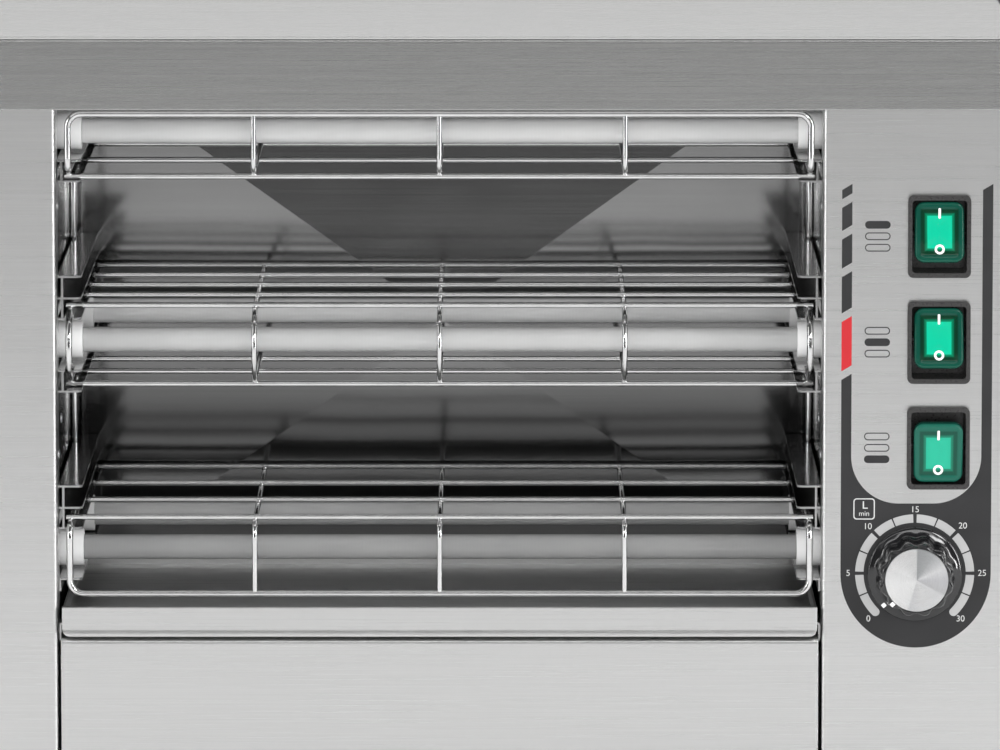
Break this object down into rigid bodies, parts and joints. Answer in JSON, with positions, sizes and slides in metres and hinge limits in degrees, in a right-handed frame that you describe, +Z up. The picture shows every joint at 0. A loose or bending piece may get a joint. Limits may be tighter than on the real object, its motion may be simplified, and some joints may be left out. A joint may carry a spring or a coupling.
{
  "type": "quartz toaster",
  "caption": "Countertop double-deck quartz toaster with a stainless case, wire-guarded heater rows, rack channels, crumb tray, rocker switches and a timer dial.",
  "frame": {"origin": "on the floor under the middle of the overall box", "axes": "+X to the right seen from the front, +Y from the front to the back, +Z up"},
  "size_m": [0.462, 0.266, 0.35],
  "materials": {
    "case_steel": "horizontally brushed stainless sheet",
    "cavity_steel": "polished stainless reflector sheet",
    "rail_steel": "polished stainless folded strip",
    "guard_wire": "bright plated welded wire",
    "quartz": "frosted quartz",
    "cap_ceramic": "white unglazed ceramic",
    "coil_wire": "resistance wire and turned steel",
    "terminal_brass": "turned and stamped brass",
    "switch_black": "black moulded bezel",
    "rocker_green": "translucent green rocker",
    "timer_plastic": "pale moulded plastic",
    "knob_black": "black moulded knob",
    "knob_disc": "spun aluminium disc",
    "foot_rubber": "black rubber",
    "screw_steel": "plated screws",
    "gland_plastic": "black nylon"
  },
  "bodies": {
    "case": {"top_cover": "case_steel", "left_column": "case_steel", "right_side_panel": "case_steel", "control_panel": "case_steel", "base_pan": "case_steel", "rear_panel": "case_steel", "cavity_left_wall": "cavity_steel", "cavity_right_wall": "cavity_steel", "cavity_back_wall": "cavity_steel", "cavity_roof": "cavity_steel", "cavity_floor": "cavity_steel", "upper_rack_rail_left": "rail_steel", "upper_rack_rail_right": "rail_steel", "lower_rack_rail_left": "rail_steel", "lower_rack_rail_right": "rail_steel", "top_guard_rail_left": "rail_steel", "top_guard_rail_right": "rail_steel", "middle_guard_rail_left": "rail_steel", "middle_guard_rail_right": "rail_steel", "bottom_ledge_left": "rail_steel", "bottom_ledge_right": "rail_steel", "tray_runner_left": "rail_steel", "tray_runner_right": "rail_steel", "top_guard": "guard_wire", "middle_guard": "guard_wire", "bottom_guard": "guard_wire", "quartz_tube_bottom_front": "quartz", "quartz_tube_bottom_rear": "quartz", "quartz_tube_middle_front": "quartz", "quartz_tube_middle_rear": "quartz", "quartz_tube_top_front": "quartz", "quartz_tube_top_rear": "quartz", "end_caps_bottom": "cap_ceramic", "end_caps_middle": "cap_ceramic", "end_caps_top": "cap_ceramic", "heating_coils": "coil_wire", "terminal_studs": "terminal_brass", "jumper_bars": "terminal_brass", "switch_housing_1": "switch_black", "switch_housing_2": "switch_black", "switch_housing_3": "switch_black", "timer_body": "timer_plastic", "foot_front_left": "foot_rubber", "foot_front_right": "foot_rubber", "foot_rear_left": "foot_rubber", "foot_rear_right": "foot_rubber", "foot_screws": "screw_steel", "case_screws": "screw_steel", "cable_gland": "gland_plastic", "gland_nut": "gland_plastic", "terminal_block": "timer_plastic"},
    "crumb_tray": {"crumb_tray": "case_steel"},
    "timer_dial": {"timer_shaft": "coil_wire", "timer_knob": "knob_black", "knob_disc": "knob_disc"},
    "rocker_1": {"rocker_1": "rocker_green"},
    "rocker_2": {"rocker_2": "rocker_green"},
    "rocker_3": {"rocker_3": "rocker_green"}
  },
  "joints": [
    {"name": "tray_slide", "type": "slide", "parent": "case", "child": "crumb_tray", "axis": [0, -1, 0], "range_m": [0, 0.15]},
    {"name": "timer_turn", "type": "hinge", "parent": "case", "child": "timer_dial", "pos_m": [0.1842, -0.1115, 0.113], "axis": [0, 1, 0], "range_deg": [0, 270]},
    {"name": "rocker_1_tilt", "type": "hinge", "parent": "case", "child": "rocker_1", "pos_m": [0.1942, -0.1, 0.2623], "axis": [1, 0, 0], "range_deg": [0, 18]},
    {"name": "rocker_2_tilt", "type": "hinge", "parent": "case", "child": "rocker_2", "pos_m": [0.1942, -0.1, 0.2155], "axis": [1, 0, 0], "range_deg": [0, 18]},
    {"name": "rocker_3_tilt", "type": "hinge", "parent": "case", "child": "rocker_3", "pos_m": [0.1942, -0.1, 0.1687], "axis": [1, 0, 0], "range_deg": [-18, 0]}
  ]
}
